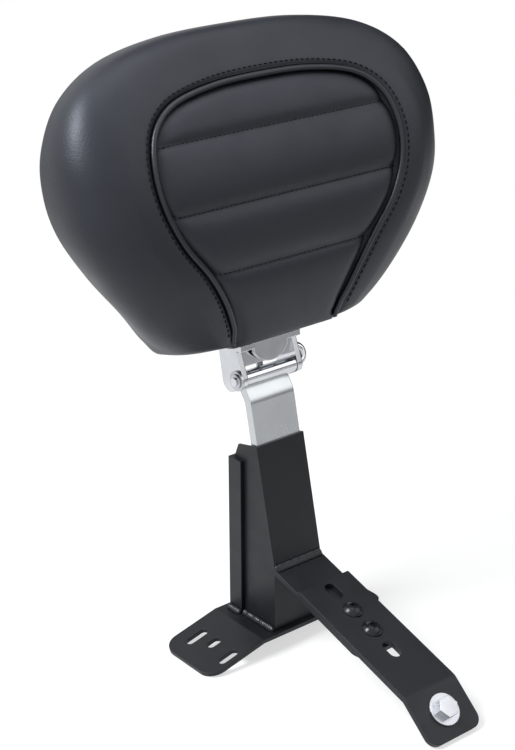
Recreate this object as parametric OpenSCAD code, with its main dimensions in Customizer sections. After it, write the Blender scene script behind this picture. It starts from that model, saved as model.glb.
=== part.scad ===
// Motorcycle driver backrest: a padded backrest on a folding, height-adjustable post,
// held by a welded saddle bracket with an adjustable forward leg.
// Origin: middle of the saddle plate's underside. +Z up, -Y towards the front of the
// pad and along the leg, +Y to the back, X across.

/* [Saddle plate] */
// Half length of the saddle plate across the machine, before the droop is folded
saddle_half = 81.5; // [70:0.5:95]
// Thickness of the saddle plate
saddle_t = 3; // [2:0.5:5]
// Distance from the origin to the plate's front edge
saddle_front = 25.5; // [22.5:0.5:40]
// Distance from the origin to the plate's back edge
saddle_back = 29.5; // [27:0.5:40]
// Distance from the middle to the line where each wing starts to droop
droop_start = 34; // [28:1:45]
// Angle at which each wing droops
droop_angle = 13.4; // [5:0.2:20]
// Corner radius of the wings
saddle_corner = 12; // [4:1:20]
// Width of the mounting slots
foot_slot_w = 6.4; // [4:0.2:9]

/* [Receiver] */
// Outer width of the front channel
receiver_w = 41.6; // [41.2:0.1:50]
// Sheet thickness of the front channel
receiver_t = 1.6; // [1:0.1:2.5]
// Height of the front face's top edge above the saddle plate's underside
receiver_top = 137.7; // [120:1:170]
// Height at which the front face stops being vertical and starts to lean back
lean_start = 51.4; // [40:0.5:65]
// Angle at which the front face and the post lean back
lean_angle = 12.6; // [6:0.2:16]
// Depth of the channel's side walls at their top edge
side_top_depth = 20; // [15:0.5:24]
// Sheet thickness of the rear channel
rear_t = 3; // [2:0.5:4]
// Height of the rear channel's top edge
rear_top = 122.5; // [100:0.5:130]
// Depth of the rear channel's side flanges
rear_depth = 13.2; // [10:0.2:18]

/* [Leg] */
// Width of the fixed leg
leg_w = 42; // [36:1:48]
// Width of the leg extension
ext_w = 45; // [38:1:50]
// Thickness of both leg straps
leg_t = 4; // [3:0.5:6]
// Slope of the leg below level
leg_slope = 17; // [12:0.5:20]
// Length of the fixed leg from its weld
leg_len = 93; // [88:1:110]
// Distance from the weld to the start of the extension
ext_start = 27; // [20:1:29]
// Distance from the weld to the fold at the extension's tip
ext_fold = 137; // [120:1:150]
// Slope of the folded tip below level
tip_slope = 41; // [30:1:45]
// Distance from the weld to the extension's first slot
slot_first = 38; // [37:0.5:41]
// Spacing of the extension's slots
slot_pitch = 20.2; // [19.5:0.1:22]
// Overall length of each extension slot
slot_len = 15; // [11:0.5:16]
// Thread size of the leg screws and the tip bolt
screw_d = 8; // [6:1:8]

/* [Post and hinge] */
// Width of the flat post bar
bar_w = 38.1; // [30:0.1:38.2]
// Thickness of the flat post bar
bar_t = 6.35; // [5:0.05:8]
// Length of post from the receiver's top edge to its bend
bar_show = 27.5; // [24:0.5:40]
// Length of post hidden in the receiver
bar_hidden = 62; // [50:1:64]
// Angle of the post's upper end behind upright
bar_top_angle = 36; // [25:1:40]
// Inside radius of the post's bend
bar_bend_r = 12; // [8:1:20]
// Outer diameter of the hinge barrel welded to the post
barrel_d = 11; // [10:0.5:13]
// Diameter of the hinge pin
pin_d = 6; // [5:0.5:7]
// Radius of the hook at the pin's right end
pin_hook_r = 5.6; // [5:0.1:8]
// Radial running clearance of the pin in the bracket's cheeks
pin_play = 0.05; // [0.02:0.01:0.1]
// Thickness of the folded hinge bracket
bracket_t = 4; // [3:0.5:5]
// Width of the tongue at the hinge bracket's front
tongue_w = 29; // [20:1:34]

/* [Pad] */
// Angle at which the pad's middle leans back
pad_lean = 6; // [0:1:12]
// Radius of the pad's crowned face, seen from the side
crown_r = 185; // [150:5:260]
// Thickness of the pad at its middle, from the panel's face to the backboard's back
pad_thick = 65; // [60:1:75]
// Half width of the pad at its widest
pad_half = 150; // [140:1:160]
// Thickness of the backboard
board_t = 6; // [4:1:9]
// Distance from the pad's edge to the backboard's edge
board_inset = 14; // [10:1:20]
// Thickness of the padded insert panel
panel_t = 7; // [5:0.5:10]
// Depth of the sewn channels across the panel
channel_depth = 2.6; // [1:0.2:4]
// Diameter of the welt cord round the panel
welt_d = 4; // [3:0.5:5]
// Thickness of the back cover's shell
cover_t = 2.5; // [1.5:0.5:4]
// Depth of the back cover
cover_depth = 12.5; // [12:0.5:18]
// Depth of the pouch on the back cover
pouch_depth = 6; // [5:1:14]

/* [Hidden] */

$fn = 48;
steel_black = [0.13, 0.14, 0.15];
chrome = [0.78, 0.79, 0.82];
zinc = [0.82, 0.82, 0.84];
vinyl = [0.17, 0.18, 0.20];

// Places in the side view, as [y, z]
face_y = -21.4;
slide_gap = 0.15;
side_half = receiver_w / 2;
rear_y = 25.2;
lean_run = (receiver_top - lean_start) * tan(lean_angle);
top_y = face_y + lean_run;
inner_face = receiver_t / cos(lean_angle);
back_low = rear_y - rear_t;

// Folded wings of the saddle
wing_len = (saddle_half - droop_start) / cos(droop_angle);
rear_slot = [61, 16, 18];
mid_slot = [57.5, 1, 11];
front_slot = [60.5, -18.5, 16];

// Fasteners: nut and head sizes follow the thread size
hex_af = 1.625 * screw_d;
head_h = 0.66 * screw_d;
nut_h = 0.8 * screw_d;
button_r = 0.875 * screw_d;
button_h = 0.55 * screw_d;
key_af = 0.625 * screw_d;
hole_play = 0.3;
screw_spots = [slot_first + slot_pitch, slot_first + 2 * slot_pitch];
foot_low = saddle_t - saddle_t * cos(droop_angle) - wing_len * sin(droop_angle);
fold_at = [face_y, lean_start] + turn([-ext_fold, leg_t], leg_slope);
tip_len = (fold_at[1] - leg_t * cos(tip_slope) - foot_low) / sin(tip_slope);
bolt_spot = 0.47 * tip_len;
washer_r = 1.375 * screw_d;
washer_t = 1.6;

// Post: its own frame has z along the bar's lean, y = 0 on the bar's front face
post_at = [0, top_y + inner_face + slide_gap, receiver_top];
bend_turn = bar_top_angle - lean_angle;
bend_out = bar_bend_r + bar_t;
lock_drop = 33;
lock_d = 8;
lock_gap = 0.1;
guide_t = 3;
guide_y = bar_t + 2 * slide_gap;

// Hinge: the pin runs along X in front of the bar's upper end
pin_along = 11.5;
upper_len = 11;
barrel_half = bar_w / 2 + 2.5;
cheek_in = barrel_half + 0.3;
cheek_out = cheek_in + bracket_t;
cheek_r = 6.2;
cheek_back_r = 8;
cheek_back = [9, -2];
pin_washer_t = 1.6;
clip_t = 1.2;
clip_at = cheek_out + pin_washer_t + 0.1;
pin_left = clip_at + clip_t + 1.2;

// Pad frame: u forwards out of the face, h up, origin at the middle of the face
pad_at = [0, -14.8, 303];
face_u = 2.2;
crown_h = -6;
back_u = face_u - pad_thick;
board_front = back_u + board_t;
pad_low = -87;
// Half outline of the pad's front edge as [x, h], from the top middle to the bottom middle, drawn for
// a pad 150 wide from its middle; a wider or narrower pad spreads or draws in all its outlines
drawn_half = 150;
pad_edge = [[0, 117.5], [55, 115.5], [103, 107], [134, 89], [148.5, 60], [150, 31], [147, 4],
    [132, -28], [109, -58], [88, -77], [69, pad_low + 1], [34, pad_low], [0, pad_low]];
// The same points on the pad's back edge, which is narrower at the bottom
back_edge = [[0, 117], [55, 115], [101, 105.5], [131, 86], [146, 58], [148, 31], [141, 4],
    [122.5, -27], [101, -55], [85, -78], [70, pad_low - 3], [34, pad_low + 1], [0, pad_low + 1]];
// Half outline of the insert panel as [x, h], from the top middle to its bottom corner
panel_edge = [[0, 88.5], [40, 87], [75, 80], [95, 65], [102.5, 42], [100, 18], [89, -6],
    [71, -29], [58, -50], [49, -69], [44, -81], [22, -83], [0, -83]];
seam_h = [-29, 13, 55.8];
seams = concat([panel_edge[len(panel_edge) - 1][1] - 2], seam_h, [panel_edge[0][1] + 2]);
foam_gap = 0.3;
side_u = -22;
side_bend = 0.0016;
back_round = 5;
welt_proud = 1.2;
cover_inset = 7;
pouch_half = pad_half - 26;
pouch_lift = 6;
pouch_low = -22;
pouch_high = 66;

// Hinge bracket, in the pad frame
web_top = pad_low - 4;
tongue_u = -32.5;
tongue_t = 3;
tongue_low = -106.5;
tongue_r = 17;
plate_y = 37.9;
plate_low = -107.5;
bracket_w = 2 * cheek_out;
flange_top = -28;
bolt_x = 14;
bolt_h = [-40, -60];
bolt_d = 6;
bolt_len = 11.5;
bolt_washer_t = 1.6;
tee_r = 4;
tee_flange = 8;
tee_t = 1.2;
stop_d = 5;
stop_r = 0.66 * stop_d;
stop_gap = 0.2;

// Place of the hinge pin, seen from the side, in the row frame and in the pad frame
function turn(p, a) = [p[0] * cos(a) - p[1] * sin(a), p[0] * sin(a) + p[1] * cos(a)];
function on_upper(p) = [post_at[1], post_at[2]] + turn([bend_out, bar_show]
    + turn(p - [bend_out, 0], -bend_turn), -lean_angle);
pin_yz = on_upper([-barrel_d / 2, pin_along]);
pin_from_pad = turn(pin_yz - [pad_at[1], pad_at[2]], pad_lean);
pin_u = -pin_from_pad[0];
pin_h = pin_from_pad[1];

// The stop screw's tip meets the post bar's upper end
bar_end = on_upper([bar_t - 1.5, upper_len]);
stop_at = turn(bar_end - [pad_at[1], pad_at[2]], pad_lean);
stop_v = stop_at[0];
stop_tip = stop_at[1] + stop_r * (1 / cos(bar_top_angle - pad_lean) - 1) + stop_gap;

// Points of an arc round c, from angle a to b
function arc(c, r, a, b, n = 12) = [for (i = [0:n]) c + r * [cos(a + (b - a) * i / n), sin(a + (b - a) * i / n)]];

// Smooth curve through the points of a list, n steps between each pair
function knot(p, i) = p[max(0, min(len(p) - 1, i))];
function spline_at(a, b, c, d, t) =
    0.5 * ((2 * b) + (c - a) * t + (2 * a - 5 * b + 4 * c - d) * t * t + (3 * b - a - 3 * c + d) * t * t * t);
function smooth(p, n) = concat(
    [for (i = [0:len(p) - 2], j = [0:n - 1])
        spline_at(i == 0 ? [-p[1][0], p[1][1]] : p[i - 1], p[i], p[i + 1],
            i == len(p) - 2 ? 2 * p[i + 1] - p[i] : p[i + 2], j / n)],
    [p[len(p) - 1]]);
function widened(loop) = [for (p = loop) [p[0] * pad_half / drawn_half, p[1]]];
function mirrored(half) = [for (i = [len(half) - 2:-1:1]) [-half[i][0], half[i][1]]];
edge_half = smooth(widened(pad_edge), 4);
back_half = smooth(widened(back_edge), 4);
panel_half = smooth(widened(panel_edge), 4);
edge_loop = concat(edge_half, mirrored(edge_half));
back_loop = concat(back_half, mirrored(back_half));
panel_loop = concat(panel_half, mirrored(panel_half));

// Depth of the pad's crowned face at height h
function crown_at(h) = face_u - (crown_r - sqrt(crown_r * crown_r - (h - crown_h) * (h - crown_h)));

module across(w) {
    rotate([90, 0, 90]) translate([0, 0, -w / 2]) linear_extrude(w) children();
}

module slot(length, width, depth) {
    linear_extrude(depth) {
        for (side = [-1, 1]) translate([side * (length - width) / 2, 0]) circle(d = width);
        square([length - width, width], center = true);
    }
}

module sector(r, a, b) {
    polygon(concat([[0, 0]], arc([0, 0], r, a, b)));
}

module hex_bolt(d, shank, head, af) {
    cylinder(d = af / cos(30), h = head, $fn = 6);
    translate([0, 0, -shank]) cylinder(d = d, h = shank + 0.01);
}

module ring(outer, inner, h) {
    difference() {
        cylinder(r = outer, h = h);
        translate([0, 0, -1]) cylinder(r = inner, h = h + 2);
    }
}

module hex_nut(d, h, af) {
    difference() {
        cylinder(d = af / cos(30), h = h, $fn = 6);
        translate([0, 0, -1]) cylinder(d = d, h = h + 2);
    }
}

module button_screw(shank) {
    difference() {
        union() {
            rotate_extrude() intersection() {
                translate([0, button_h - button_r * 1.18]) circle(r = button_r * 1.18);
                square([button_r, button_h]);
            }
            translate([0, 0, -shank]) cylinder(d = screw_d, h = shank + 0.01);
        }
        translate([0, 0, button_h / 2]) cylinder(d = key_af / cos(30), h = button_h, $fn = 6);
    }
}

// Oblong with two rounded corners at its far end, from x = 0 to x = length
module tab(length, low, high, corner) {
    translate([0, low]) square([length - corner, high - low]);
    translate([0, low + corner]) square([length, high - low - 2 * corner]);
    for (y = [low + corner, high - corner]) translate([length - corner, y]) circle(r = corner);
}

// The plate seen from the front: a flat middle and two drooping wings
module saddle_profile() {
    tip = [droop_start, saddle_t] + wing_len * [cos(droop_angle), -sin(droop_angle)];
    under = tip - saddle_t * [sin(droop_angle), cos(droop_angle)];
    half = [[droop_start, saddle_t], tip, under, [droop_start - saddle_t * tan(droop_angle / 2), 0]];
    polygon(concat(half, [for (i = [3:-1:0]) [-half[i][0], half[i][1]]]));
}

module saddle_plate() {
    color(steel_black) difference() {
        translate([0, saddle_back, 0]) rotate([90, 0, 0]) linear_extrude(saddle_front + saddle_back) saddle_profile();
        for (side = [0, 1]) mirror([side, 0, 0])
            translate([droop_start, 0, saddle_t]) rotate([0, droop_angle, 0]) translate([0, 0, -saddle_t - 1]) {
                for (s = [rear_slot, mid_slot, front_slot])
                    translate([(s[0] - droop_start) / cos(droop_angle), s[1], 0])
                        slot(s[2], foot_slot_w, saddle_t + 2);
                for (end = [[saddle_back - saddle_corner, 0], [saddle_corner - saddle_front, -90]])
                    translate([wing_len - saddle_corner, end[0], 0]) rotate(end[1])
                        linear_extrude(saddle_t + 2) difference() {
                            square(saddle_corner + 1);
                            circle(r = saddle_corner);
                        }
            }
    }
}

// Side view of the front channel; the inset moves its front edge back by the sheet thickness
module channel_side(inset, over) {
    polygon([[face_y + inset, saddle_t - over],
        [face_y + inset, lean_start],
        [top_y + inset / cos(lean_angle) + over * tan(lean_angle), receiver_top + over],
        [top_y + side_top_depth + over, receiver_top - side_top_depth * tan(lean_angle) + over],
        [back_low + over, rear_top + over],
        [back_low + over, saddle_t - over]]);
}

module front_channel() {
    color(steel_black) difference() {
        across(receiver_w) channel_side(0, 0);
        across(receiver_w - 2 * receiver_t) channel_side(receiver_t, 20);
    }
}

module rear_channel() {
    outer = side_half + rear_t;
    color(steel_black) difference() {
        translate([-outer, rear_y - rear_depth, saddle_t]) cube([2 * outer, rear_depth, rear_top - saddle_t]);
        translate([-side_half, rear_y - rear_depth - 1, saddle_t - 1])
            cube([2 * side_half, rear_depth - rear_t + 1, rear_top]);
        lock_frame() translate([0, 0, -40]) cylinder(d = lock_d + 2, h = 40);
    }
}

// The post's frame: z along the bar, y = 0 on its front face
module post_frame() {
    translate(post_at) rotate([-lean_angle, 0, 0]) children();
}

// Frame of the lock screw: z = 0 on the guide plate's back, z pointing at the post
module lock_frame() {
    post_frame() translate([0, guide_y + guide_t, -lock_drop]) rotate([90, 0, 0]) children();
}

module guide_plate() {
    color(steel_black) post_frame() difference() {
        translate([-side_half + receiver_t, guide_y, -bar_hidden - 18])
            cube([receiver_w - 2 * receiver_t, guide_t, bar_hidden + 14]);
        translate([0, guide_y - 1, -lock_drop]) rotate([-90, 0, 0]) cylinder(d = lock_d + 0.4, h = guide_t + 2);
    }
}

module lock_nut() {
    color(steel_black) lock_frame() translate([0, 0, -nut_h]) hex_nut(lock_d + 0.02, nut_h, 1.625 * lock_d);
}

module lock_screw() {
    reach = guide_t + guide_y - bar_t - lock_gap;
    length = 36;
    color(steel_black) lock_frame() translate([0, 0, reach - length]) {
        cylinder(d = lock_d, h = length);
        translate([0, 0, -0.66 * lock_d]) cylinder(d = 1.625 * lock_d / cos(30), h = 0.66 * lock_d, $fn = 6);
    }
}

module leg_frame() {
    translate([0, face_y, lean_start]) rotate([leg_slope, 0, 0]) children();
}

// Strap in the leg frame, between two distances from the weld, with its far corners rounded
module strap(w, from, to, corner) {
    translate([0, -from]) rotate(-90) tab(to - from, -w / 2, w / 2, corner);
}

module fixed_leg() {
    corner = 10;
    color(steel_black) difference() {
        leg_frame() difference() {
            translate([0, 0, -leg_t]) linear_extrude(leg_t) strap(leg_w, -3, leg_len, corner);
            for (s = screw_spots) translate([0, -s, -leg_t - 1]) cylinder(d = screw_d + 2 * hole_play, h = leg_t + 2);
        }
        translate([-leg_w, face_y, 0]) cube([2 * leg_w, 20, lean_start + 20]);
    }
}

module leg_extension() {
    corner = 8;
    fold_r = 2 * leg_t;
    turned = tip_slope - leg_slope;
    set_back = fold_r * tan(turned / 2);
    color(steel_black) leg_frame() {
        difference() {
            linear_extrude(leg_t) translate([-ext_w / 2, -ext_fold + set_back])
                square([ext_w, ext_fold - set_back - ext_start]);
            for (i = [0:3]) translate([0, -slot_first - i * slot_pitch, -1]) rotate(90)
                slot(slot_len, screw_d + 2 * hole_play, leg_t + 2);
        }
        translate([0, -ext_fold + set_back, leg_t - fold_r]) across(ext_w) difference() {
            sector(fold_r, 90, 90 + turned);
            sector(fold_r - leg_t, 85, 95 + turned);
        }
        tip_frame() difference() {
            translate([0, 0, -leg_t]) linear_extrude(leg_t) strap(ext_w, set_back, tip_len, corner);
            translate([0, -bolt_spot, -leg_t - 1]) cylinder(d = screw_d + 2 * hole_play, h = leg_t + 2);
        }
    }
}

// Frame of the folded tip: z = 0 on its top face, y = 0 at the fold
module tip_frame() {
    translate([0, -ext_fold, leg_t]) rotate([tip_slope - leg_slope, 0, 0]) children();
}

module tip_washer() {
    color(zinc) leg_frame() tip_frame() translate([0, -bolt_spot, 0])
        ring(washer_r, screw_d / 2 + 0.2, washer_t);
}

// Bolt whose plain grip passes through the washer and the strap; its thread stands free below
module tip_bolt() {
    shank = 2 * screw_d;
    grip = washer_t + leg_t + 0.4;
    color(zinc) leg_frame() tip_frame() translate([0, -bolt_spot, washer_t]) {
        hex_bolt(0.9 * screw_d, shank, head_h, hex_af);
        translate([0, 0, -shank]) cylinder(d = screw_d, h = shank - grip);
    }
}

module leg_screws() {
    color(steel_black) leg_frame() for (s = screw_spots) translate([0, -s, leg_t])
        button_screw(2 * leg_t + nut_h + 1);
}

module leg_nuts() {
    color(steel_black) leg_frame() for (s = screw_spots) translate([0, -s, -leg_t - nut_h])
        hex_nut(screw_d + 0.02, nut_h, hex_af);
}

module weld_beads() {
    bead = 3.6;
    rear_out = side_half + rear_t;
    step_y = rear_y - rear_depth;
    color(steel_black) {
        for (side = [0, 1]) mirror([side, 0, 0]) {
            translate([side_half, step_y, saddle_t]) rotate([90, 0, 0])
                linear_extrude(step_y - face_y) sector(bead, 0, 90);
            translate([rear_out, rear_y, saddle_t]) rotate([90, 0, 0])
                linear_extrude(rear_depth) sector(bead, 0, 90);
        }
        translate([0, face_y, lean_start]) across(receiver_w)
            sector(bead, 90 - lean_angle, 180 + leg_slope);
    }
}

module bar_profile() {
    c = [bend_out, bar_show];
    up = turn([0, upper_len], -bend_turn);
    front = arc(c, bend_out, 180, 180 - bend_turn);
    back = arc(c, bar_bend_r, 180 - bend_turn, 180);
    polygon(concat([[bar_t, -bar_hidden], [0, -bar_hidden]], front, [front[len(front) - 1] + up, back[0] + up], back));
}

module post_bar() {
    color(chrome) post_frame() across(bar_w) bar_profile();
}

// Frame of the bar's upper run: z along it, y = 0 on its front face
module upper_frame() {
    post_frame() translate([0, bend_out, bar_show]) rotate([-bend_turn, 0, 0])
        translate([0, -bend_out, 0]) children();
}

module hinge_barrel() {
    color(chrome) pin_frame() translate([-barrel_half, 0, 0]) rotate([0, 90, 0])
        ring(barrel_d / 2, pin_d / 2 + 0.01, 2 * barrel_half);
}

// Pin with a groove for its clip at the left and a hook at the right
module hinge_pin() {
    hook_tilt = 24;
    hook_x = cheek_out + 0.8;
    groove = 0.5;
    lap = 3;
    color(chrome) pin_frame() {
        difference() {
            translate([-pin_left, 0, 0]) rotate([0, 90, 0]) cylinder(d = pin_d, h = pin_left + hook_x);
            translate([-clip_at - clip_t, 0, 0]) rotate([0, 90, 0]) ring(pin_d, pin_d / 2 - groove, clip_t);
        }
        rotate([-hook_tilt, 0, 0]) translate([hook_x, 0, pin_hook_r]) rotate([90, 0, 0])
            rotate(-90 - lap) rotate_extrude(angle = 180 + lap) translate([pin_hook_r, 0]) circle(d = pin_d - 0.04);
    }
}

// Retaining ring in the pin's groove
module pin_clip() {
    color(zinc) pin_frame() translate([-clip_at - clip_t + 0.05, 0, 0]) rotate([0, 90, 0]) difference() {
        ring(pin_d - 1, pin_d / 2 - 0.45, clip_t - 0.1);
        translate([-1.5, 1, -1]) cube([3, pin_d, clip_t + 2]);
    }
}

// Frame with its origin on the pin's axis, square to the row frame
module pin_frame() {
    translate([0, pin_yz[0], pin_yz[1]]) children();
}

module pin_washer() {
    color(zinc) pin_frame() translate([-cheek_out - pin_washer_t, 0, 0]) rotate([0, 90, 0])
        ring(pin_d + 1, pin_d / 2 + pin_play, pin_washer_t);
}

// The pad's own frame: x across, y backwards out of its face, z up
module pad_frame() {
    translate(pad_at) rotate([-pad_lean, 0, 0]) children();
}

module tongue_outline() {
    intersection() {
        translate([-tongue_w / 2, tongue_low]) square([tongue_w, web_top - tongue_low]);
        translate([0, tongue_low + tongue_r]) union() {
            circle(r = tongue_r, $fn = 72);
            translate([-tongue_r, 0]) square([2 * tongue_r, 60]);
        }
    }
}

// Cheek beside the barrel seen from the side, as [y, h]: an eye round the pin and a wider back
module cheek_outline() {
    difference() {
        hull() {
            translate([-pin_u, pin_h]) circle(r = cheek_r);
            translate([-pin_u, pin_h] + cheek_back) circle(r = cheek_back_r);
            translate([-pin_u + 1, web_top - bracket_t]) square([18, bracket_t]);
        }
        translate([-pin_u, pin_h]) circle(r = pin_d / 2 + pin_play);
    }
}

module hinge_bracket() {
    web_back = -back_u + bracket_t;
    color(chrome) pad_frame() {
        // Tongue in front, hanging from the web
        slab(-tongue_u, -tongue_u + tongue_t) tongue_outline();
        // Web under the pad
        difference() {
            translate([-bracket_w / 2, -tongue_u, web_top - bracket_t])
                cube([bracket_w, web_back + tongue_u, bracket_t]);
            translate([0, stop_v, web_top - bracket_t - 1]) cylinder(d = stop_d, h = bracket_t + 2);
        }
        for (side = [-1, 1]) translate([side * (cheek_in + cheek_out) / 2, 0, 0])
            across(bracket_t) cheek_outline();
        // Plate between the cheeks, behind the tongue
        translate([-cheek_in - 1, plate_y, plate_low])
            cube([2 * cheek_in + 2, tongue_t, web_top - bracket_t / 2 - plate_low]);
        // Flange up the backboard
        difference() {
            translate([-bracket_w / 2, -back_u, web_top - bracket_t])
                cube([bracket_w, bracket_t, flange_top - web_top + bracket_t]);
            bolt_holes(bolt_d / 2 + 0.3);
        }
    }
}

// Holes through the flange and backboard, in the pad frame
module bolt_holes(r) {
    for (x = [-bolt_x, bolt_x], h = bolt_h) translate([x, -board_front - 5, h]) rotate([-90, 0, 0])
        cylinder(r = r, h = board_t + bracket_t + 10);
}

// Frame of the stop screw: z along it, z = 0 at its tip
module stop_frame() {
    pad_frame() translate([0, stop_v, stop_tip]) children();
}

module stop_screw() {
    length = web_top + 3 - stop_tip;
    color(zinc) stop_frame() difference() {
        union() {
            translate([0, 0, 1]) cylinder(d = stop_d - 0.02, h = length - 1);
            rotate_extrude() intersection() {
                translate([0, stop_r]) circle(r = stop_r);
                square([stop_d / 2 - 0.01, 1.01]);
            }
        }
        translate([0, 0, length - 3]) cylinder(d = stop_d / 2 / cos(30), h = 4, $fn = 6);
    }
}

module stop_nut() {
    color(zinc) pad_frame() translate([0, stop_v, web_top - bracket_t - 0.5 * stop_d])
        hex_nut(stop_d, 0.5 * stop_d, 1.6 * stop_d);
}

module bracket_bolts() {
    color(zinc) pad_frame() for (x = [-bolt_x, bolt_x], h = bolt_h)
        translate([x, -back_u + bracket_t + bolt_washer_t, h]) rotate([-90, 0, 0])
            hex_bolt(bolt_d, bolt_len, 0.5 * bolt_d, 1.6 * bolt_d);
}

module bracket_washers() {
    color(zinc) pad_frame() for (x = [-bolt_x, bolt_x], h = bolt_h)
        translate([x, -back_u + bracket_t, h]) rotate([-90, 0, 0])
            ring(1.05 * bolt_d, bolt_d / 2 + 0.2, bolt_washer_t);
}

// A closed loop drawn in by d, each point moved along its own normal
function inset(loop, d) = [for (i = [0:len(loop) - 1])
    let (n = len(loop), t = loop[(i + 1) % n] - loop[(i + n - 1) % n], s = norm(t))
    loop[i] + d * [t[1], -t[0]] / s];

// Turns an outline drawn as [x, h] into a slab between two depths, given as y in the pad frame
module slab(from, to) {
    translate([0, to, 0]) rotate([90, 0, 0]) linear_extrude(to - from) children();
}

// Triangles that close a symmetric loop of n points, joining its left and right halves level by level
function strip_faces(n) = let (half = n / 2) concat(
    [for (i = [1:half - 1]) [i, i + 1, n - i]],
    [for (i = [0:half - 2]) [i + 1, n - i - 1, (n - i) % n]]);

// Closed solid through a list of loops, each a list of [x, y, h]
module loft(rings) {
    n = len(rings[0]);
    m = len(rings);
    caps = strip_faces(n);
    polyhedron([for (r = rings, p = r) p], concat(
        [for (k = [0:m - 2], i = [0:n - 1]) let (j = (i + 1) % n) [k * n + i, (k + 1) * n + i, (k + 1) * n + j]],
        [for (k = [0:m - 2], i = [0:n - 1]) let (j = (i + 1) % n) [k * n + i, (k + 1) * n + j, k * n + j]],
        caps,
        [for (f = caps) [(m - 1) * n + f[2], (m - 1) * n + f[1], (m - 1) * n + f[0]]]));
}

function at_depth(loop, y) = [for (p = loop) [p[0], y, p[1]]];
function on_crown(loop, drop) = [for (p = loop) [p[0], drop - crown_at(p[1]), p[1]]];

// One ring of the bolster between the panel's edge and the pad's edge, with its share of the fall to the side
function bolster_ring(e, fall) = [for (i = [0:len(edge_loop) - 1])
    let (p = panel_loop[i] + (edge_loop[i] - panel_loop[i]) * e,
        front = crown_at(p[1]), side = side_u - side_bend * p[1] * p[1])
    [p[0], -front - (side - front) * fall, p[1]]];

module cushion() {
    steps = 7;
    rise = [for (k = [0:steps]) let (t = 90 * k / steps) bolster_ring(sin(t), 1 - cos(t))];
    back = -back_u;
    color(vinyl) pad_frame() loft(concat(
        [on_crown(panel_loop, panel_t + foam_gap)],
        rise,
        [at_depth(back_loop, back - back_round),
            at_depth(inset(back_loop, 0.3 * back_round), back - 0.3 * back_round),
            at_depth(inset(back_loop, back_round), back),
            at_depth(inset(back_loop, board_inset - foam_gap), back),
            at_depth(inset(back_loop, board_inset - foam_gap), -board_front - foam_gap)]));
}

module backboard() {
    color([0.62, 0.5, 0.34]) pad_frame() difference() {
        slab(-board_front, -back_u) polygon(inset(back_loop, board_inset));
        for (x = [-bolt_x, bolt_x], h = bolt_h) translate([x, -board_front - 1, h]) rotate([-90, 0, 0]) {
            cylinder(r = tee_r, h = board_t + 2);
            cylinder(r = tee_flange, h = 1 + tee_t);
        }
    }
}

// Tee nuts: a barrel in the backboard and a flange sunk in its front
module tee_nuts() {
    color(zinc) pad_frame() for (x = [-bolt_x, bolt_x], h = bolt_h)
        translate([x, -board_front, h]) rotate([-90, 0, 0]) difference() {
            union() {
                cylinder(r = tee_r, h = board_t);
                cylinder(r = tee_flange, h = tee_t);
            }
            translate([0, 0, -1]) cylinder(d = bolt_d + 0.02, h = board_t + 2);
        }
}

// Height of the panel's padding at height h: full between two seams, low at each seam
function puff(h) =
    let (a = max([for (s = seams) if (s <= h) s]), b = min([for (s = seams) if (s > h) s]),
        t = (h - a) / (b - a))
    channel_depth * pow(4 * t * (1 - t), 0.4);

module insert_panel() {
    loop = inset(panel_loop, welt_d + 0.2);
    low = seams[0];
    high = seams[len(seams) - 1] - 0.01;
    rows = 52;
    levels = [for (i = [0:rows]) low + (high - low) * i / rows];
    color(vinyl) pad_frame() intersection() {
        slab(-face_u - channel_depth, -back_u) polygon(loop);
        across(2 * pad_half) polygon(concat(
            [for (h = levels) [channel_depth - crown_at(h) - puff(h), h]],
            [for (i = [rows:-2:0]) [panel_t - crown_at(levels[i]), levels[i]]]));
    }
}

// Round cord laid in the seam between the panel and the bolster
module panel_welt() {
    sides = 8;
    r = welt_d / 2;
    path = on_crown(inset(panel_loop, r + 0.1), r - welt_proud);
    n = len(path);
    color(vinyl) pad_frame() polyhedron(
        [for (i = [0:n - 1]) let (t = path[(i + 1) % n] - path[(i + n - 1) % n], d = t / norm(t),
                side = cross(d, [0, -1, 0]), a = side / norm(side), b = cross(d, a))
            for (k = [0:sides - 1]) path[i] + r * (a * cos(360 * k / sides) + b * sin(360 * k / sides))],
        [for (i = [0:n - 1], k = [0:sides - 1]) let (j = (i + 1) % n, q = (k + 1) % sides)
            [i * sides + k, i * sides + q, j * sides + q, j * sides + k]]);
}

// A closed loop drawn in towards its own middle by a share of its size
function shrunk(loop, share) = let (hs = [for (p = loop) p[1]], mid = [0, (max(hs) + min(hs)) / 2])
    [for (p = loop) mid + (1 - share) * (p - mid)];

// Rings of a shallow dome on the pad's back, drawn in by more as it rises
function dome(loop, depth, round, lift) = let (reach = max([for (p = loop) p[0]])) concat(
    [at_depth(loop, -back_u + lift)],
    [for (k = [0:4]) let (t = 90 * k / 4)
        at_depth(shrunk(loop, round * (1 - cos(t)) / reach), -back_u + depth - round * (1 - sin(t)))]);

// Rectangle with well-rounded corners, from its top middle round to the right
function oblong(w, low, high, n = 48) = [for (i = [0:n - 1])
    let (s = sin(360 * i / n), c = cos(360 * i / n))
    [w * sign(s) * pow(abs(s), 0.35), (low + high) / 2 + (high - low) / 2 * sign(c) * pow(abs(c), 0.35)]];

module back_cover() {
    color(vinyl) pad_frame() difference() {
        loft(dome(inset(back_loop, cover_inset), cover_depth, cover_depth - 2, 0));
        loft(dome(inset(back_loop, cover_inset + cover_t), cover_depth - cover_t, cover_depth - cover_t - 2, -1));
        translate([-bracket_w / 2 - 0.5, -back_u - 1, pad_low - 10])
            cube([bracket_w + 1, bracket_t + 1.5, 40]);
    }
}

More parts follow.
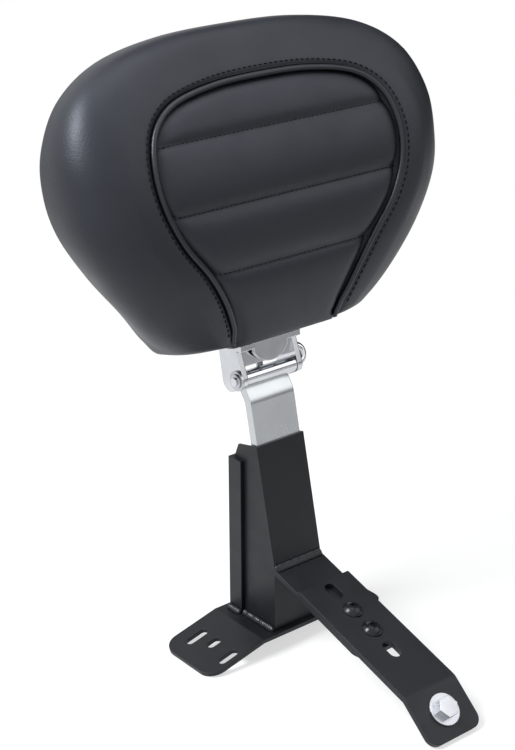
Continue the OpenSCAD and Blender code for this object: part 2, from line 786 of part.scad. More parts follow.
module rear_pouch() {
    reach = cover_depth + foam_gap;
    color(vinyl) pad_frame() difference() {
        loft(dome(oblong(pouch_half, pouch_low, pouch_high), cover_depth + pouch_depth, pouch_depth, pouch_lift));
        loft(dome(inset(back_loop, cover_inset - foam_gap), reach, cover_depth - 2, -1));
    }
}

saddle_plate();
front_channel();
rear_channel();
guide_plate();
fixed_leg();
weld_beads();
leg_screws();
leg_nuts();
lock_nut();
lock_screw();
leg_extension();
tip_bolt();
tip_washer();
post_bar();
hinge_barrel();
hinge_pin();
pin_washer();
pin_clip();
hinge_bracket();
stop_screw();
stop_nut();
bracket_bolts();
bracket_washers();
tee_nuts();
backboard();
cushion();
insert_panel();
panel_welt();
back_cover();
rear_pouch();
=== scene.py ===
"""Looks of a padded motorcycle driver backrest on its chromed post and black saddle bracket.

Shapes are drawn in mm. The pad has a frame of its own, with x to the side, y backwards and h up
along the leaning pad. to_row() takes points from it to the shared frame, in metres.
"""
import math

import bmesh
import bpy
import numpy as np
from mathutils import Matrix, Vector
from mathutils.geometry import delaunay_2d_cdt


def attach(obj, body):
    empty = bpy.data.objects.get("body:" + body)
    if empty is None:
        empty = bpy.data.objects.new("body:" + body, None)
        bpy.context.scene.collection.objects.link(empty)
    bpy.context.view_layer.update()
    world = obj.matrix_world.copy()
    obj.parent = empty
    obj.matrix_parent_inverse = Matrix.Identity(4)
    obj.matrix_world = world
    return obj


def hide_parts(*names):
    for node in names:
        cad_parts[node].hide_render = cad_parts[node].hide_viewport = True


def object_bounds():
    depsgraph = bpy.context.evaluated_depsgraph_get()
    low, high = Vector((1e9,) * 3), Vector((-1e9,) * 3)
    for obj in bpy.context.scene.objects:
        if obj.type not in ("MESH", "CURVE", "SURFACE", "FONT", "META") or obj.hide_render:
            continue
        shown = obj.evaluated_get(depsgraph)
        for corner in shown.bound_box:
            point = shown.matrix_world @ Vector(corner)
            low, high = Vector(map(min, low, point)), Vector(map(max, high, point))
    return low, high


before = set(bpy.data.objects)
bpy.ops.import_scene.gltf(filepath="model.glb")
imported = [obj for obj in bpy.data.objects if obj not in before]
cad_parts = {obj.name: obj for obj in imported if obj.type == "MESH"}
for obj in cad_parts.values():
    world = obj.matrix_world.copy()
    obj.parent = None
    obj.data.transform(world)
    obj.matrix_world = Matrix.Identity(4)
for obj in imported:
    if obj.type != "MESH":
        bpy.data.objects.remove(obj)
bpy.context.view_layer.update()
MM = 0.001

# Sizes of the pad, which repeat those of the part's source
LEAN = math.radians(6)
PAD_AT = (0.0, -14.8, 303.0)
CROWN_R, CROWN_H, FACE_U = 185.0, -6.0, 2.2
SIDE_U, SIDE_BEND = -22.0, 0.0016
PAD_THICK, BACK_ROUND = 65.0, 5.0
BACK_Y = PAD_THICK - FACE_U
BOARD_T, BOARD_INSET, GAP = 6.0, 14.0, 0.3
PANEL_T, WELT_R, WELT_GAP = 7.0, 2.0, 0.1
COVER_INSET, COVER_DEPTH, COVER_T = 7.0, 12.5, 2.5
POUCH_HALF, POUCH_LOW, POUCH_HIGH = 124.0, -22.0, 66.0
POUCH_DEPTH, POUCH_LIFT = 6.0, 6.0
BRACKET_W = 51.7
SEAMS = (-29.0, 13.0, 55.8)

# Right halves of the outlines (x, h), from the top to the bottom
PAD_EDGE = [(0, 117.5), (55, 115.5), (103, 107), (134, 89), (148.5, 60), (150, 31), (147, 4),
            (132, -28), (109, -58), (88, -77), (69, -86), (34, -87), (0, -87)]
BACK_EDGE = [(0, 117), (55, 115), (101, 105.5), (131, 86), (146, 58), (148, 31), (141, 4),
             (122.5, -27), (101, -55), (85, -78), (70, -90), (34, -86), (0, -86)]
PANEL_EDGE = [(0, 88.5), (40, 87), (75, 80), (95, 65), (102.5, 42), (100, 18), (89, -6),
              (71, -29), (58, -50), (49, -69), (44, -81), (22, -83), (0, -83)]
PAD_LOW, PANEL_LOW = PAD_EDGE[-1][1], PANEL_EDGE[-1][1]

# Points drawn on each span of an outline, and the panel's spans down to its lower corner
SPAN_POINTS = 9
CORNER_SPANS = 10


def smooth(points):
    """Smooth curve through half an outline, which starts on the mirror line."""
    p = [np.array(q, float) for q in points]
    p = [p[1] * (-1, 1), *p, 2 * p[-1] - p[-2]]
    out = []
    for a, b, c, d in zip(p, p[1:], p[2:], p[3:]):
        for t in np.arange(SPAN_POINTS) / SPAN_POINTS:
            out.append(0.5 * (2 * b + (c - a) * t + (2 * a - 5 * b + 4 * c - d) * t ** 2
                              + (3 * b - a - 3 * c + d) * t ** 3))
    return np.array(out + [p[-2]])


def flipped(points):
    """The points in backward order, mirrored to the other side."""
    other = points[::-1].copy()
    other[:, 0] *= -1
    return other


def closed(half):
    """A whole outline from its right half."""
    return np.vstack([half, flipped(half[1:-1])])


def inset(loop, d):
    """A closed outline drawn in by d."""
    t = np.roll(loop, -1, 0) - np.roll(loop, 1, 0)
    t /= np.linalg.norm(t, axis=1)[:, None]
    return loop + d * np.stack([t[:, 1], -t[:, 0]], 1)


def run(path):
    """Distance along a path, at each of its points."""
    return np.concatenate([[0], np.cumsum(np.linalg.norm(np.diff(path, axis=0), axis=1))])


def points_at(path, distances):
    """Points of a path at distances along it."""
    s = run(path)
    return np.stack([np.interp(distances, s, column) for column in path.T], 1)


def step(a, b, x):
    """Eases from 0 at a to 1 at b."""
    t = np.clip((x - a) / (b - a), 0, 1)
    return t * t * (3 - 2 * t)


def fade(distance, width, power):
    """1 at no distance, falling to 0 over a width."""
    return np.exp(-(distance / width) ** power)


def crown(h):
    """How far forward the crowned face lies at height h."""
    return FACE_U - (CROWN_R - np.sqrt(CROWN_R ** 2 - (h - CROWN_H) ** 2))


def turned(h, angle):
    """y at height h of the quarter round between the crowned face and the side."""
    side = SIDE_U - SIDE_BEND * h ** 2
    return -crown(h) - (side - crown(h)) * (1 - np.cos(angle))


def to_row(points):
    """Points of the pad's frame in the shared frame, in metres."""
    x, y, h = np.asarray(points, float).T
    c, s = math.cos(LEAN), math.sin(LEAN)
    return (np.stack([x, y * c + h * s, -y * s + h * c], 1) + PAD_AT) * MM


EDGE = closed(smooth(PAD_EDGE))
BACK = closed(smooth(BACK_EDGE))
PANEL = closed(smooth(PANEL_EDGE))
RING_POINTS = len(EDGE)


# Shader helpers
def new_tree(name):
    """A new material, its node tree and its Principled shader."""
    m = bpy.data.materials.new(name)
    m.use_nodes = True
    t = m.node_tree
    return m, t, t.nodes["Principled BSDF"]


def bare_tree(owner, output):
    """The emptied node tree of a material or world, and its new output node."""
    owner.use_nodes = True
    t = owner.node_tree
    t.nodes.clear()
    return t, t.nodes.new(output)


def node(t, kind, **values):
    """A new shader node with its sockets or settings filled in by name."""
    n = t.nodes.new(kind)
    for k, v in values.items():
        if k in n.inputs:
            n.inputs[k].default_value = v
        else:
            setattr(n, k, v)
    return n


def place(t, stretch=(1, 1, 1)):
    """Object coordinates, stretched. The plain ones are made once for each tree."""
    plain = stretch == (1, 1, 1)
    if plain and t.nodes.get("place"):
        return t.nodes["place"].outputs[0]
    coords = t.nodes.new("ShaderNodeTexCoord")
    m = node(t, "ShaderNodeMapping", Scale=stretch)
    t.links.new(coords.outputs["Object"], m.inputs["Vector"])
    if plain:
        m.name = "place"
    return m.outputs[0]


def noise(t, scale, detail, rough=0.5):
    """Noise over the object, from 0 to 1."""
    n = node(t, "ShaderNodeTexNoise", Scale=scale, Detail=detail, Roughness=rough)
    t.links.new(place(t), n.inputs["Vector"])
    return n.outputs["Fac"]


def ramp(t, source, dark, light, low=0.3, high=0.7):
    """A colour between two tones, as the source goes from low to high."""
    r = t.nodes.new("ShaderNodeValToRGB")
    for end, at, tone in zip(r.color_ramp.elements, (low, high), (dark, light)):
        end.position = at
        end.color = (*tone, 1)
    t.links.new(source, r.inputs["Fac"])
    return r.outputs[0]


def spread(t, source, to_low, to_high, low=0.3, high=0.7):
    """A value between to_low and to_high, as the source goes from low to high."""
    m = node(t, "ShaderNodeMapRange")
    for socket, value in (("From Min", low), ("From Max", high), ("To Min", to_low), ("To Max", to_high)):
        m.inputs[socket].default_value = value
    t.links.new(source, m.inputs["Value"])
    return m.outputs["Result"]


def bump(t, height, distance, strength, under=None):
    """A normal with relief from a height, on top of another normal where one is given."""
    b = node(t, "ShaderNodeBump", Strength=strength, Distance=distance)
    t.links.new(height, b.inputs["Height"])
    if under is not None:
        t.links.new(under, b.inputs["Normal"])
    return b.outputs["Normal"]


def round_edges(t, radius):
    """A normal that softens sharp edges."""
    return node(t, "ShaderNodeBevel", samples=6, Radius=radius).outputs["Normal"]


def link_surface(t, shader, colour, roughness, normal):
    """Joins a colour, a roughness and a normal to the Principled shader."""
    t.links.new(colour, shader.inputs["Base Color"])
    t.links.new(roughness, shader.inputs["Roughness"])
    t.links.new(normal, shader.inputs["Normal"])


def seen_directly(t):
    """1 for camera, glossy and transmission rays, and 0 for all others."""
    path = t.nodes.new("ShaderNodeLightPath")
    seen = node(t, "ShaderNodeMath", operation="MAXIMUM")
    any_of = node(t, "ShaderNodeMath", operation="MAXIMUM")
    t.links.new(path.outputs["Is Camera Ray"], seen.inputs[0])
    t.links.new(path.outputs["Is Glossy Ray"], seen.inputs[1])
    t.links.new(seen.outputs[0], any_of.inputs[0])
    t.links.new(path.outputs["Is Transmission Ray"], any_of.inputs[1])
    return any_of.outputs[0]


# Materials
def vinyl(name, dark, light, rough=0.47, grain=1.0, level=0.5):
    """Soft black vinyl with fine leather cells and faint folds."""
    m, t, p = new_tree(name)
    cells = node(t, "ShaderNodeTexVoronoi", Scale=820.0, feature="SMOOTH_F1")
    t.links.new(place(t), cells.inputs["Vector"])
    n = bump(t, noise(t, scale=60, detail=4), distance=0.0006, strength=0.25)
    n = bump(t, cells.outputs["Distance"], 0.00012 * grain, 0.55, n)
    n = bump(t, noise(t, scale=2600, detail=2), 0.00004 * grain, 0.5, n)
    link_surface(t, p, ramp(t, noise(t, scale=22, detail=4), dark, light),
                 spread(t, noise(t, scale=35, detail=5), rough - 0.04, rough + 0.05), n)
    p.inputs["Specular IOR Level"].default_value = level
    p.inputs["Specular Tint"].default_value = (0.85, 0.9, 1.0, 1)
    return m


def powder(name, dark, light, rough=0.42, peel=1.0, edge=0.0006):
    """Black powder coat with a slight orange peel and softened edges."""
    m, t, p = new_tree(name)
    n = bump(t, noise(t, scale=900, detail=2), 0.00005 * peel, 0.5, round_edges(t, edge))
    n = bump(t, noise(t, scale=240, detail=2), 0.00012 * peel, 0.35, n)
    link_surface(t, p, ramp(t, noise(t, scale=30, detail=5), dark, light),
                 spread(t, noise(t, scale=55, detail=5), rough - 0.05, rough + 0.08), n)
    p.inputs["Specular IOR Level"].default_value = 0.36
    p.inputs["Specular Tint"].default_value = (0.9, 0.94, 1.0, 1)
    return m


def metal(name, dark, light, rough, grain_scale, edge, haze):
    """Bare or plated metal, whose roughness varies with a fine grain."""
    m, t, p = new_tree(name)
    p.inputs["Metallic"].default_value = 1.0
    grain = noise(t, grain_scale, detail=5, rough=0.6)
    n = bump(t, grain, 0.000004, 0.1, round_edges(t, edge))
    n = bump(t, noise(t, scale=25, detail=2), 0.00025, 0.1, n)
    link_surface(t, p, ramp(t, noise(t, scale=40, detail=4), dark, light),
                 spread(t, grain, rough, rough + haze), n)
    return m


def wood(name):
    """Plywood with a wavy grain."""
    m, t, p = new_tree(name)
    rings = node(t, "ShaderNodeTexWave", Scale=14.0, Distortion=6.0, Detail=3.0)
    t.links.new(place(t, stretch=(1, 1, 6)), rings.inputs["Vector"])
    link_surface(t, p, ramp(t, rings.outputs["Fac"], (0.29, 0.19, 0.1), (0.42, 0.3, 0.17), 0.2, 0.8),
                 spread(t, noise(t, scale=300, detail=3), 0.6, 0.8),
                 bump(t, rings.outputs["Fac"], 0.0002, 0.4, round_edges(t, 0.0005)))
    return m


pad_vinyl = vinyl("pad_vinyl", (0.009, 0.0103, 0.0142), (0.012, 0.0138, 0.0188))
panel_vinyl = vinyl("panel_vinyl", (0.0096, 0.011, 0.0156), (0.013, 0.0148, 0.0206), rough=0.48)
welt_vinyl = vinyl("welt_vinyl", (0.0095, 0.0105, 0.0135), (0.0125, 0.014, 0.0175), rough=0.38, grain=0.6)
thread = vinyl("thread", (0.004, 0.004, 0.005), (0.007, 0.007, 0.009), rough=0.75, grain=0.5, level=0.2)
back_vinyl = vinyl("back_vinyl", (0.012, 0.0125, 0.014), (0.016, 0.017, 0.019), rough=0.55, grain=1.4)
pouch_vinyl = vinyl("pouch_vinyl", (0.011, 0.0115, 0.013), (0.0155, 0.016, 0.018), rough=0.6, grain=1.6)
black = powder("black_powder", (0.0052, 0.0056, 0.0066), (0.008, 0.0086, 0.01))
oxide = powder("black_oxide", (0.006, 0.0064, 0.0072), (0.012, 0.0126, 0.0138),
               rough=0.22, peel=0.5, edge=0.0004)
weld_black = powder("weld_powder", (0.006, 0.0064, 0.0074), (0.01, 0.0106, 0.012),
                    rough=0.27, edge=0.0003)
chrome = metal("chrome", (0.55, 0.565, 0.59), (0.64, 0.655, 0.68),
               rough=0.1, grain_scale=90, edge=0.0008, haze=0.06)
satin = metal("satin_chrome", (0.5, 0.52, 0.535), (0.56, 0.58, 0.595),
              rough=0.24, grain_scale=60, edge=0.0009, haze=0.04)
zinc = metal("zinc", (0.42, 0.43, 0.46), (0.56, 0.57, 0.6),
             rough=0.26, grain_scale=700, edge=0.0005, haze=0.1)
plywood = wood("plywood")

FINISH = {
    "saddle_plate": black, "front_channel": black, "rear_channel": black, "guide_plate": black,
    "fixed_leg": black, "leg_extension": black, "weld_beads": weld_black,
    "leg_screws": oxide, "leg_nuts": oxide, "lock_nut": oxide, "lock_screw": oxide,
    "post_bar": satin, "hinge_barrel": chrome, "hinge_pin": chrome, "hinge_bracket": chrome,
    "tip_bolt": zinc, "tip_washer": zinc, "pin_washer": zinc, "pin_clip": zinc,
    "stop_screw": zinc, "stop_nut": zinc, "bracket_bolts": zinc, "bracket_washers": zinc,
    "tee_nuts": zinc, "backboard": plywood,
    "cushion": pad_vinyl, "insert_panel": panel_vinyl, "panel_welt": welt_vinyl,
    "back_cover": back_vinyl, "rear_pouch": pouch_vinyl,
}
for name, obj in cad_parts.items():
    if not obj.material_slots:
        obj.data.materials.append(FINISH[name])
    for slot in obj.material_slots:
        slot.material = FINISH[name]


# Mesh helpers
def new_mesh(name, verts, faces):
    """Mesh data whose faces look outwards."""
    data = bpy.data.meshes.new(name)
    data.from_pydata([tuple(v) for v in verts], [], [tuple(f) for f in faces])
    data.validate()
    b = bmesh.new()
    b.from_mesh(data)
    bmesh.ops.recalc_face_normals(b, faces=b.faces)
    b.to_mesh(data)
    b.free()
    return data


def new_object(name, data):
    """An object in the scene's own collection."""
    obj = bpy.data.objects.new(name, data)
    bpy.context.scene.collection.objects.link(obj)
    return obj


def mesh_piece(name, verts, faces, material, body, slot, *nodes):
    """A smooth mesh in the shared frame, in metres, that rides on a body and stands for CAD nodes."""
    data = new_mesh(name, verts, faces)
    data.materials.append(material)
    data.polygons.foreach_set("use_smooth", [True] * len(data.polygons))
    obj = new_object(name, data)
    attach(obj, body)
    if nodes:
        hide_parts(*nodes)
    return obj


def side_faces(rings, n, is_closed=False):
    """Quads between rings of n points, and from the last ring to the first where they are closed."""
    quads = []
    for k in range(rings if is_closed else rings - 1):
        a, b = k * n, (k + 1) % rings * n
        quads += [(a + i, a + (i + 1) % n, b + (i + 1) % n, b + i) for i in range(n)]
    return quads


def end_faces(rings, n):
    """One face over the first ring and one over the last."""
    return [tuple(range(n))[::-1], tuple(range((rings - 1) * n, rings * n))]


def cap_faces(n, base):
    """Faces that close a symmetric ring level by level."""
    out = [(base, base + 1, base + n - 1)]
    out += [(base + i, base + i + 1, base + n - i - 1, base + n - i) for i in range(1, n // 2 - 1)]
    return out + [(base + n // 2 - 1, base + n // 2, base + n // 2 + 1)]


def loft(rings):
    """A closed skin over symmetric rings."""
    n, last = len(rings[0]), len(rings) - 1
    return np.vstack(rings), side_faces(len(rings), n) + cap_faces(n, 0) + cap_faces(n, last * n)


def ring_at(loop, y):
    """An outline as a ring of the pad's frame, at one y or at a y for each point."""
    return np.stack([loop[:, 0], np.broadcast_to(y, len(loop)), loop[:, 1]], 1)


TUBE_TIP = 0.6
ANY_WAY = (0.31, 0.72, 0.62)


def tube(path, radius, sides, is_closed=False):
    """Tube along a path, with blunt tips where it is open."""
    n = len(path)
    before, after = np.roll(path, 1, 0), np.roll(path, -1, 0)
    if not is_closed:
        before[0], after[-1] = path[0], path[-1]
    ways = after - before
    ways /= np.linalg.norm(ways, axis=1)[:, None]
    up = np.cross(ways[0], ANY_WAY)
    verts = []
    for p, way in zip(path, ways):
        up = up - way * np.dot(up, way)
        up /= np.linalg.norm(up)
        side = np.cross(way, up)
        for a in 2 * math.pi * np.arange(sides) / sides:
            verts.append(p + radius * (up * math.cos(a) + side * math.sin(a)))
    faces = side_faces(n, sides, is_closed)
    if not is_closed:
        for end, base, out in ((0, 0, -1), (n - 1, (n - 1) * sides, 1)):
            tip = len(verts)
            verts.append(path[end] + out * ways[end] * radius * TUBE_TIP)
            faces += [(tip, base + k, base + (k + 1) % sides)[::out] for k in range(sides)]
    return np.array(verts), faces


LOOK_AHEAD = 0.4


def along(path, pitch):
    """Points and directions at an even pitch along a path."""
    total = run(path)[-1]
    count = max(2, int(round(total / pitch)))
    at = (np.arange(count) + 0.5) * total / count
    ahead, behind = np.minimum(at + LOOK_AHEAD, total), np.maximum(at - LOOK_AHEAD, 0)
    way = points_at(path, ahead) - points_at(path, behind)
    return points_at(path, at), way / np.linalg.norm(way, axis=1)[:, None]


# Pad cover
SEAM_DIP, SEAM_SOFT = 2.0, 2.4
SWELL, SWELL_FROM, SWELL_AT, SWELL_WIDE = 1.2, 12, 26.0, 17.0
WRAP_SINK, SINK_BY, RISE_BETWEEN = 1.5, 0.6, (0.55, 0.95)
BOTTOM_X, BOTTOM_H = (52, 40), (-74, -81)
SEAM_SHARES = (0.0, 0.012, 0.03, 0.05, 0.075, 0.1, 0.13, 0.165, 0.2, 0.24)
TURN_FROM, TURN_RINGS = 17, 18
SIDE_RINGS, SIDE_SWELL, BOTTOM_FLAT = 9, 1.0, 0.7
ROUND_FROM, ROUND_PASSES, ROUND_KEEP = 12, 60, 0.8
BACK_RINGS, BACK_RIM = 5, 4.0

# 1 where the seam passes over the pad's lower edge and 0 round the rest, and the bolster's width
BOTTOM = step(*BOTTOM_X, np.abs(PANEL[:, 0])) * step(*BOTTOM_H, PANEL[:, 1])
REACH = np.linalg.norm(EDGE - PANEL, axis=1)


def bolster(e):
    """Ring of the bolster at share e of the way from the panel's seam to the pad's edge."""
    x, h = (PANEL + (EDGE - PANEL) * e).T
    d = REACH * e
    y = turned(h, math.asin(e))
    y = y + (1 - BOTTOM) * SEAM_DIP * fade(d, SEAM_SOFT, 1.6)
    y = y - (1 - BOTTOM) * SWELL * fade(d - SWELL_AT, SWELL_WIDE, 2) * step(0, SWELL_FROM, d)
    y = y + BOTTOM * WRAP_SINK * (1 - e)
    return np.stack([x, y, h + BOTTOM * WRAP_SINK * step(0, SINK_BY, e)], 1)


def rounded(rings):
    """Rounds the turn from the bolster to the side: evenly spaced along each section, then smoothed."""
    part = np.stack(rings[ROUND_FROM:])
    count = len(part)
    part = np.stack([points_at(s, np.linspace(0, run(s)[-1], count)) for s in part.swapaxes(0, 1)], 1)
    before = part.copy()
    for _ in range(ROUND_PASSES):
        part[1:-1] += 0.5 * (0.5 * (part[:-2] + part[2:]) - part[1:-1])
    bulge = np.sin(np.linspace(0, np.pi, count))[:, None, None]
    part += ROUND_KEEP * (before - part).mean(0) * bulge
    return rings[:ROUND_FROM] + list(part)


def pad_rings():
    """Rings of the pad cover, from the pocket behind the panel round to the backboard's recess."""
    rings = [ring_at(PANEL, PANEL_T + GAP - crown(PANEL[:, 1]))]
    turn = np.radians(np.linspace(TURN_FROM, 90, TURN_RINGS))
    rings += [bolster(e) for e in (*SEAM_SHARES, *np.sin(turn))]
    edge_y, back_y = rings[-1][:, 1], BACK_Y - BACK_ROUND
    for w in np.arange(1, SIDE_RINGS) / SIDE_RINGS:
        loop = (1 - w) * EDGE + w * BACK
        out = SIDE_SWELL * math.sin(math.pi * w) ** 2 * (1 - BOTTOM_FLAT * BOTTOM)
        loop = loop - (inset(loop, 1) - loop) * out[:, None]
        ring = ring_at(loop, (1 - w) * edge_y + w * back_y)
        ring[:, 2] += BOTTOM * WRAP_SINK * (1 - step(*RISE_BETWEEN, w))
        rings.append(ring)
    rings = rounded(rings + [ring_at(BACK, back_y)])
    for a in np.radians(np.arange(1, BACK_RINGS + 1) * 90 / BACK_RINGS):
        rings.append(ring_at(inset(BACK, BACK_ROUND * (1 - math.cos(a))),
                             BACK_Y - BACK_ROUND * (1 - math.sin(a))))
    recess = inset(BACK, BOARD_INSET - GAP)
    rings.append(ring_at(inset(BACK, BACK_ROUND + BACK_RIM), BACK_Y))
    rings.append(ring_at(recess, BACK_Y))
    rings.append(ring_at(recess, BACK_Y - BOARD_T - GAP))
    return rings


verts, faces = loft(pad_rings())
pad_cover = mesh_piece("pad_cover", to_row(verts), faces, pad_vinyl, "pad", "vinyl", "cushion")

# Quilted panel, which is drawn unrolled: its heights v go on below the face, along the flap
CELL, RIM_CELL, END_CELL = 2.4, 0.9, 1.0
CHANNEL, CHANNEL_WIDE = 3.0, 4.6
EDGE_DIP, EDGE_SOFT = 4.4, 3.6
QUILT_SWELL, QUILT_SOFT = 1.1, 14.0
PUCKER, PUCKER_WIDE = 0.16, 5.0
FLAP_TOP, FLAP_NEXT = -78.5, -81.5
FLAP_IN_NEXT, FLAP_IN = 0.25, 0.4
FLAP_STEPS, FLAP_SINK, FLAP_DIP, FLAP_PLAIN = 8, 0.2, 0.3 * EDGE_DIP, 0.75
WRAP_STEPS, WRAP_BACK, WRAP_RISE = 25, 52, 0.6
UNDER_STEPS = 6


def wrap_section():
    """Section (h, y) of the flap, from the panel's lower edge round under the pad."""
    angle = np.radians(np.linspace(0, 90, WRAP_STEPS))
    h = PANEL_LOW + (PAD_LOW - PANEL_LOW) * np.sin(angle)
    turn = np.stack([h, turned(h, angle)], 1)
    share = np.arange(1, UNDER_STEPS + 1)[:, None] / UNDER_STEPS
    return np.vstack([turn, turn[-1] + ((PAD_LOW + WRAP_RISE, WRAP_BACK) - turn[-1]) * share])


WRAP = wrap_section()
WRAP_RUN = run(WRAP)
WRAP_LEN = WRAP_RUN[-1] - 2


def section(v):
    """(h, y) of the unpadded panel at unrolled height v."""
    on_face, below = v >= PANEL_LOW, np.maximum(PANEL_LOW - v, 0)
    h = np.where(on_face, v, np.interp(below, WRAP_RUN, WRAP[:, 0]))
    y = np.where(on_face, -crown(np.maximum(v, PANEL_LOW)), np.interp(below, WRAP_RUN, WRAP[:, 1]))
    return h, y


def with_flap(d, heights):
    """Right half of the panel's outline, drawn in by d, and straight on down the flap at some heights."""
    half = inset(PANEL, d)[:SPAN_POINTS * CORNER_SPANS + 1]
    half = half[half[:, 1] > FLAP_TOP]
    x_low = half[-1][0]
    return np.vstack([half, (x_low - FLAP_IN_NEXT, FLAP_NEXT), [(x_low - FLAP_IN, v) for v in heights]])


def row_heights(low, high):
    """Heights of the rows of points in the panel, closer together near the seams."""
    marks = (low, *SEAMS, high)
    out = []
    for a, b in zip(marks, marks[1:]):
        count = max(4, int(round((b - a) / CELL)))
        w = np.arange(count) / count
        out += list(a + (b - a) * (0.35 * (0.5 - 0.5 * np.cos(np.pi * w)) + 0.65 * w))
    return out + [high]


def reach_at(rim, v):
    """How far to the right an outline goes at height v."""
    return max(a[0] + (b[0] - a[0]) * (v - a[1]) / (b[1] - a[1])
               for a, b in zip(rim, np.roll(rim, -1, 0)) if (a[1] - v) * (b[1] - v) < 0)


def gap_to(rim, points):
    """Distance of each point from a closed outline."""
    gap = np.full(len(points), np.inf)
    for a, b in zip(rim, np.roll(rim, -1, 0)):
        way = b - a
        t = np.clip((points - a) @ way / (way @ way), 0, 1)
        gap = np.minimum(gap, np.linalg.norm(points - a - t[:, None] * way, axis=1))
    return gap


def panel_mesh():
    """Points (x, v) and triangles of the unrolled panel, and the points' distances from its rim."""
    lengths = WRAP_LEN * np.arange(1, FLAP_STEPS + 1) / FLAP_STEPS
    right = with_flap(2 * (WELT_R + WELT_GAP), [PANEL_LOW - 2, *(PANEL_LOW - lengths)])
    rim = np.vstack([right, flipped(right[1:])])
    n = len(rim)
    pts = [Vector(p) for p in rim]
    for v in row_heights(rim[:, 1].min() + END_CELL, rim[:, 1].max() - END_CELL):
        reach = reach_at(rim, v) - RIM_CELL
        pts += [Vector((x, v)) for x in np.linspace(-reach, reach, max(3, int(round(2 * reach / CELL))))]
    out = delaunay_2d_cdt(pts, [(i, (i + 1) % n) for i in range(n)], [list(range(n))], 1, 1e-5)
    flat = np.array([tuple(p) for p in out[0]])
    return flat, [tuple(f) for f in out[2]], gap_to(rim, flat)


def quilted(flat, gap):
    """Panel points in the pad's frame, with channels, a tucked rim and faint puckers along the seams."""
    x, v = flat.T
    h, y = section(v)
    on_flap = step(PANEL_LOW + 4, PANEL_LOW - 3, v)
    rim = fade(gap, EDGE_SOFT, 1.3) * (1 - on_flap * FLAP_PLAIN)
    swell = np.zeros_like(v)
    tops = (PANEL_EDGE[0][1] - 0.5, *SEAMS[::-1], PANEL_LOW - 2)
    for a, b in zip(tops, tops[1:]):
        t = np.clip((a - v) / (a - b), 0, 1)
        swell += np.where((v <= a) & (v > b), np.sin(np.pi * t) ** 0.8, 0)
    swell *= (1 - fade(gap, QUILT_SOFT, 1.5)) * (1 - on_flap)
    pucker = np.zeros_like(v)
    for k, seam in enumerate(SEAMS):
        waves = np.sin(x * 0.78 + k) * 0.5 + np.sin(x * 0.31 + 2 * k) * 0.5
        pucker += fade(np.abs(v - seam), PUCKER_WIDE, 1.2) * waves
    nearest = np.min([np.abs(v - seam) for seam in SEAMS], axis=0)
    depth = CHANNEL * fade(nearest, CHANNEL_WIDE, 1.05) + EDGE_DIP * rim
    depth += PUCKER * pucker - QUILT_SWELL * swell
    depth = depth * (1 - on_flap) + on_flap * FLAP_DIP * rim
    return np.stack([x, y + depth, h - on_flap * FLAP_SINK], 1)


flat, faces, gap = panel_mesh()
panel_cover = mesh_piece("panel_cover", to_row(quilted(flat, gap)), faces, panel_vinyl, "pad", "vinyl",
                         "insert_panel")

# Welt and stitching
WELT_PROUD, WELT_LOW_DEEP, WELT_LOW_FROM = 0.7, 1.5, -60
WELT_STEPS = 16
STITCH_OUT, STITCH_LIFT, STITCH_TILT = 3.4, 0.15, 0.12
SEAM_END, SEAM_POINTS, SEAM_LIFT = 1.5, 120, 0.1
BEAD_PROFILE = ((-1, 0.02), (-0.86, 0.6), (-0.45, 0.97), (0.0, 1.0), (0.45, 0.97), (0.86, 0.6), (1, 0.02))
BEAD_SIDES = 6
OUTWARDS = (0.0, -1.0, 0.0)


def welt_path():
    """Round the panel's sides and top, and down under the pad at both ends."""
    heights = [PANEL_LOW - 1, *(PANEL_LOW - np.linspace(3, WRAP_LEN - 3, WELT_STEPS))]
    x, v = with_flap(WELT_R + WELT_GAP, heights).T
    h, y = section(v)
    under = step(PANEL_LOW + 4, PANEL_LOW - 6, v)
    deep = WELT_R - WELT_PROUD + WELT_LOW_DEEP * step(WELT_LOW_FROM, PANEL_LOW, v)
    right = np.stack([x, y + deep * (1 - under), h + under * deep], 1)
    return np.vstack([flipped(right[1:]), right])


def bead(length, radius):
    """A short rounded thread along X, on its own axes."""
    verts = []
    for a, r in BEAD_PROFILE:
        for w in 2 * math.pi * np.arange(BEAD_SIDES) / BEAD_SIDES:
            verts.append((a * length / 2, radius * r * math.cos(w), radius * r * math.sin(w)))
    rings = len(BEAD_PROFILE)
    return np.array(verts), side_faces(rings, BEAD_SIDES) + end_faces(rings, BEAD_SIDES)


def across(way):
    """A unit direction across a way, flat on the pad's face."""
    side = np.cross(way, OUTWARDS)
    return side / np.linalg.norm(side)


def stitch_mesh(points, ways, length, radius, tilt=0.0):
    """A bead at each point, turned along its way and tilted on the pad's face."""
    base, base_faces = bead(length, radius)
    verts, faces = [], []
    for p, way in zip(points, ways):
        way = way * math.cos(tilt) + across(way) * math.sin(tilt)
        side = across(way)
        at = len(verts)
        verts += list(p + base @ np.array([way, side, np.cross(side, way)]))
        faces += [tuple(at + i for i in f) for f in base_faces]
    return np.array(verts), faces


def top_stitch_path():
    """Path on the bolster beside the welt, from its lower left end over the top."""
    left, right = [], []
    for i in range(RING_POINTS):
        if PANEL[i, 1] > BOTTOM_H[0]:
            half = left if i > RING_POINTS // 2 else right
            half.append(bolster(STITCH_OUT / max(REACH[i], STITCH_OUT))[i])
    return np.array(left + right)


def seam_path(seam):
    """Path along the bottom of a channel."""
    x, h = smooth(PANEL_EDGE).T
    reach = np.interp(-seam, -h, x) - 2 * WELT_R - SEAM_END
    x = np.linspace(-reach, reach, SEAM_POINTS)
    h, y = section(np.full_like(x, seam))
    return np.stack([x, y + CHANNEL - SEAM_LIFT, h], 1)


verts, faces = tube(welt_path(), WELT_R, sides=12)
mesh_piece("welt_cord", to_row(verts), faces, welt_vinyl, "pad", "vinyl", "panel_welt")

